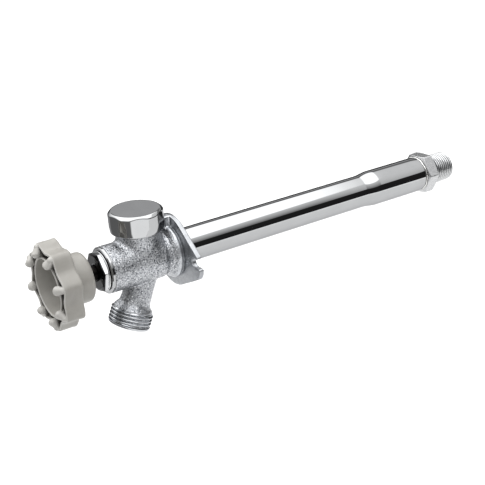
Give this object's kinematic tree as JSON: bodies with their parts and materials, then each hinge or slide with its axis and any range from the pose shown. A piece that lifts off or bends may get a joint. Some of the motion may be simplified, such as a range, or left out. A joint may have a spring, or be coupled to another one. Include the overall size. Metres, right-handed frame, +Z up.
{
  "type": "hose bib",
  "caption": "Frost-free outdoor tap: a lobed handle turns a long stem that lifts a washer off its seat inside the wall, with a vacuum breaker cap and a sloping hose spout.",
  "frame": {"origin": "centre of the flange's wall face, on the tube's axis", "axes": "+Y through the wall towards the inlet, -Y towards the handle, +Z up towards the vacuum breaker cap"},
  "size_m": [0.0674, 0.3192, 0.0792],
  "materials": {
    "cast_chrome": "chrome plate over a rough sand-cast surface",
    "polished_chrome": "bright polished chrome plate",
    "satin_chrome": "satin chrome plate over turned metal",
    "braze": "silver braze fillet, lumpy and bright",
    "brass": "turned brass, unplated",
    "stainless": "bright stainless steel",
    "rubber": "black moulded rubber",
    "nylon": "natural white moulded plastic",
    "handle_grey": "semi-matt warm grey coat over a die casting"
  },
  "bodies": {
    "root": {"body_casting": "cast_chrome", "tube": "polished_chrome", "inlet_fitting": "satin_chrome", "inlet_braze_ring": "braze", "flange_braze_ring": "braze", "packing_nut": "polished_chrome", "packing_gland": "brass", "stem_packing": "rubber", "packing_washer": "brass", "vent_bonnet": "brass", "bonnet_gasket": "rubber", "vacuum_breaker_cap": "polished_chrome"},
    "seat_valve": {"washer_holder": "brass", "seat_washer": "rubber", "washer_screw": "brass"},
    "stem": {"stem_screw": "brass", "stem_rod": "brass", "coupling_pin": "stainless", "stem_guide": "nylon", "handle": "handle_grey", "handle_washer": "stainless", "handle_screw": "stainless"},
    "poppet": {"poppet": "nylon", "poppet_disc": "rubber", "vent_seal": "rubber"}
  },
  "joints": [
    {"name": "stem_travel", "type": "slide", "parent": "root", "child": "seat_valve", "axis": [0, -1, 0], "range_m": [0, 0.0064]},
    {"name": "handle_turn", "type": "hinge", "parent": "seat_valve", "child": "stem", "pos_m": [0, -0.075, 0], "axis": [0, -1, 0], "range_deg": [0, 900]},
    {"name": "poppet_lift", "type": "slide", "parent": "root", "child": "poppet", "axis": [0, 0, 1], "range_m": [0, 0.0016]}
  ],
  "couplings": [
    {"joint": "stem_travel", "follows": "handle_turn", "m_per_rad": 0.00040425}
  ]
}
